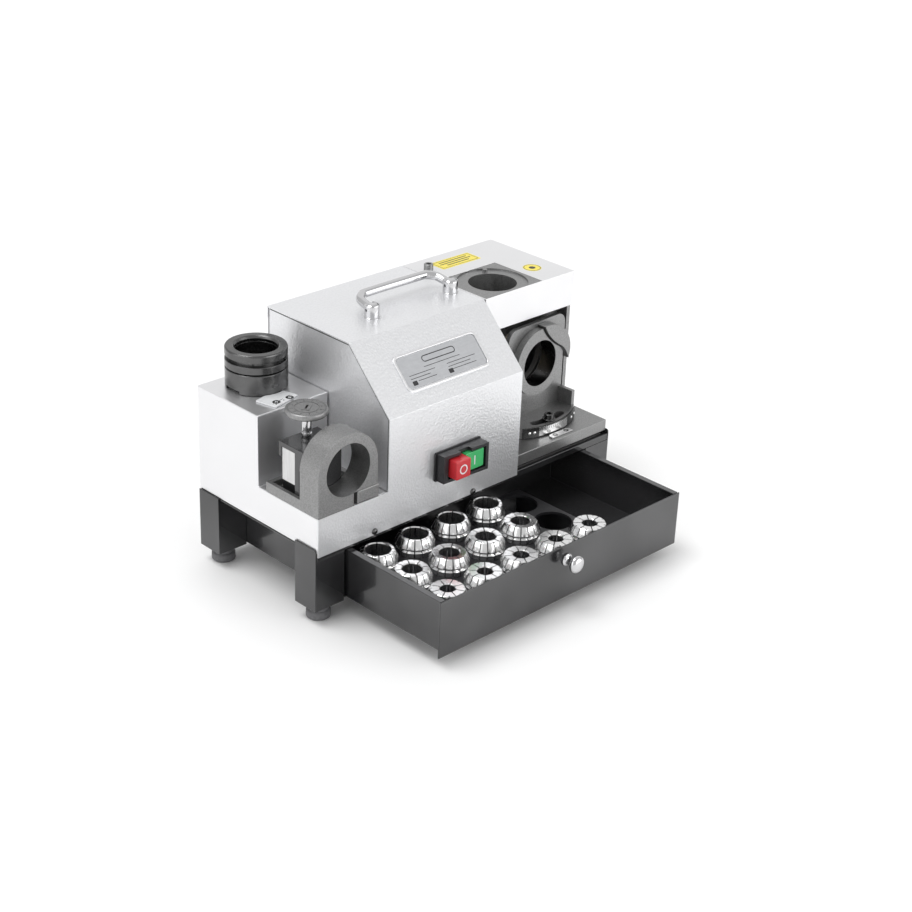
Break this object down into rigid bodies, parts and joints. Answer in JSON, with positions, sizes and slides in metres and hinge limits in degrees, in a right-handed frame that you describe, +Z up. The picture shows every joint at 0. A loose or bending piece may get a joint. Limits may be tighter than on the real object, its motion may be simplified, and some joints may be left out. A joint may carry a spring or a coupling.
{
  "type": "drill bit sharpener",
  "caption": "Bench-top drill bit sharpener with a collet chuck, dial setting station, swivelling front grinding port, top port and a drawer of spring collets in its stand.",
  "frame": {"origin": "centre of the bottom of the whole object's box, with the drawer out as stored, on the surface the feet stand on", "axes": "+X along the machine's length to the right as the user faces it, +Y from the front to the back, +Z up"},
  "size_m": [0.4154, 0.345, 0.2712],
  "materials": {
    "textured_silver": "fine hammertone silver paint",
    "satin_silver": "smooth satin silver paint",
    "cast_grey": "machined and blasted grey iron",
    "black_sheet": "glossy black stoved paint",
    "black_oxide": "blackened machined steel",
    "chrome": "polished chrome plate",
    "bright_steel": "ground bright steel",
    "dark_plastic": "fine-textured black moulding",
    "red_plastic": "moulded red",
    "green_plastic": "moulded green",
    "foot_rubber": "grey rubber",
    "label_plate": "brushed and printed plate",
    "white_plate": "white anodised plate with dark marks",
    "motor_paint": "dark grey motor paint",
    "abrasive": null
  },
  "bodies": {
    "machine": {"main_cover": "textured_silver", "left_housing": "satin_silver", "rear_panel": "satin_silver", "head_cover": "satin_silver", "setting_bracket": "cast_grey", "stop_block": "cast_grey", "base_plate": "cast_grey", "head_casting": "cast_grey", "top_port_plate": "cast_grey", "stand_top": "black_sheet", "leg_front_left": "black_sheet", "leg_front_right": "black_sheet", "leg_rear_left": "black_sheet", "leg_rear_right": "black_sheet", "drawer_housing": "black_sheet", "slide_guide": "black_oxide", "cap_screw": "black_oxide", "handle_post_left": "chrome", "handle_post_right": "chrome", "pointer_plate": "bright_steel", "cable_gland": "dark_plastic", "switch_housing": "dark_plastic", "foot_front_left": "foot_rubber", "foot_front_right": "foot_rubber", "foot_rear_left": "foot_rubber", "foot_rear_right": "foot_rubber", "nameplate": "label_plate", "setting_plate": "white_plate", "motor": "motor_paint"},
    "drawer": {"drawer_tray": "black_sheet", "drawer_front": "black_sheet", "drawer_knob": "chrome", "collet_rack": "dark_plastic", "collet_a1": "bright_steel", "collet_b1": "bright_steel", "collet_c1": "bright_steel", "collet_d1": "bright_steel", "collet_a2": "bright_steel", "collet_b2": "bright_steel", "collet_c2": "bright_steel", "collet_d2": "bright_steel", "collet_a3": "bright_steel", "collet_b3": "bright_steel", "collet_c3": "bright_steel", "collet_d3": "bright_steel", "collet_e3": "bright_steel"},
    "stop_button": {"stop_button": "red_plastic"},
    "start_button": {"start_button": "green_plastic"},
    "handle": {"handle_bar": "chrome"},
    "dial": {"setting_knob": "cast_grey"},
    "slide": {"slide_plate": "bright_steel"},
    "chuck": {"chuck_body": "black_oxide"},
    "chuck_nut": {"chuck_nut": "black_oxide"},
    "swivel": {"swivel_bracket": "cast_grey", "port_ring": "cast_grey", "cam_plate": "cast_grey", "scale_strip": "black_oxide"},
    "spindle": {"spindle": "bright_steel", "grinding_wheel": "abrasive"},
    "clamp_bolt": {"clamp_bolt": "black_oxide"}
  },
  "joints": [
    {"name": "drawer_slide", "type": "slide", "parent": "machine", "child": "drawer", "axis": [0, -1, 0], "range_m": [-0.1296, 0.018]},
    {"name": "stop_press", "type": "slide", "parent": "machine", "child": "stop_button", "axis": [0, 1, 0], "range_m": [0, 0.003], "stiffness_N_per_m": 300},
    {"name": "start_press", "type": "slide", "parent": "machine", "child": "start_button", "axis": [0, 1, 0], "range_m": [0, 0.003], "stiffness_N_per_m": 300},
    {"name": "handle_fold", "type": "hinge", "parent": "machine", "child": "handle", "pos_m": [-0.00335, 0.0706, 0.2615], "axis": [1, 0, 0], "range_deg": [0, 90]},
    {"name": "dial_turn", "type": "hinge", "parent": "machine", "child": "dial", "pos_m": [-0.17465, 0.0295, 0.1895], "axis": [0, 0, 1], "range_deg": [0, 1080]},
    {"name": "slide_travel", "type": "slide", "parent": "machine", "child": "slide", "axis": [0, 0, -1], "range_m": [0, 0.0076]},
    {"name": "chuck_lift", "type": "slide", "parent": "machine", "child": "chuck", "axis": [0, 0, 1], "range_m": [0, 0.08]},
    {"name": "chuck_nut_turn", "type": "hinge", "parent": "chuck", "child": "chuck_nut", "pos_m": [-0.15995, 0.1231, 0.2195], "axis": [0, 0, 1], "range_deg": [0, 360]},
    {"name": "port_swivel", "type": "hinge", "parent": "machine", "child": "swivel", "pos_m": [0.13815, 0.0766, 0.0995], "axis": [0, 0, 1], "range_deg": [-12, 3]},
    {"name": "spindle_spin", "type": "hinge", "parent": "machine", "child": "spindle", "pos_m": [0.09415, 0.0976, 0.1715], "axis": [1, 0, 0], "continuous": true},
    {"name": "clamp_bolt_turn", "type": "hinge", "parent": "machine", "child": "clamp_bolt", "pos_m": [0.13815, 0.0036, 0.1045], "axis": [0, 0, 1], "range_deg": [0, 180]}
  ],
  "couplings": [
    {"joint": "slide_travel", "follows": "dial_turn", "m_per_rad": 0.00039789}
  ]
}
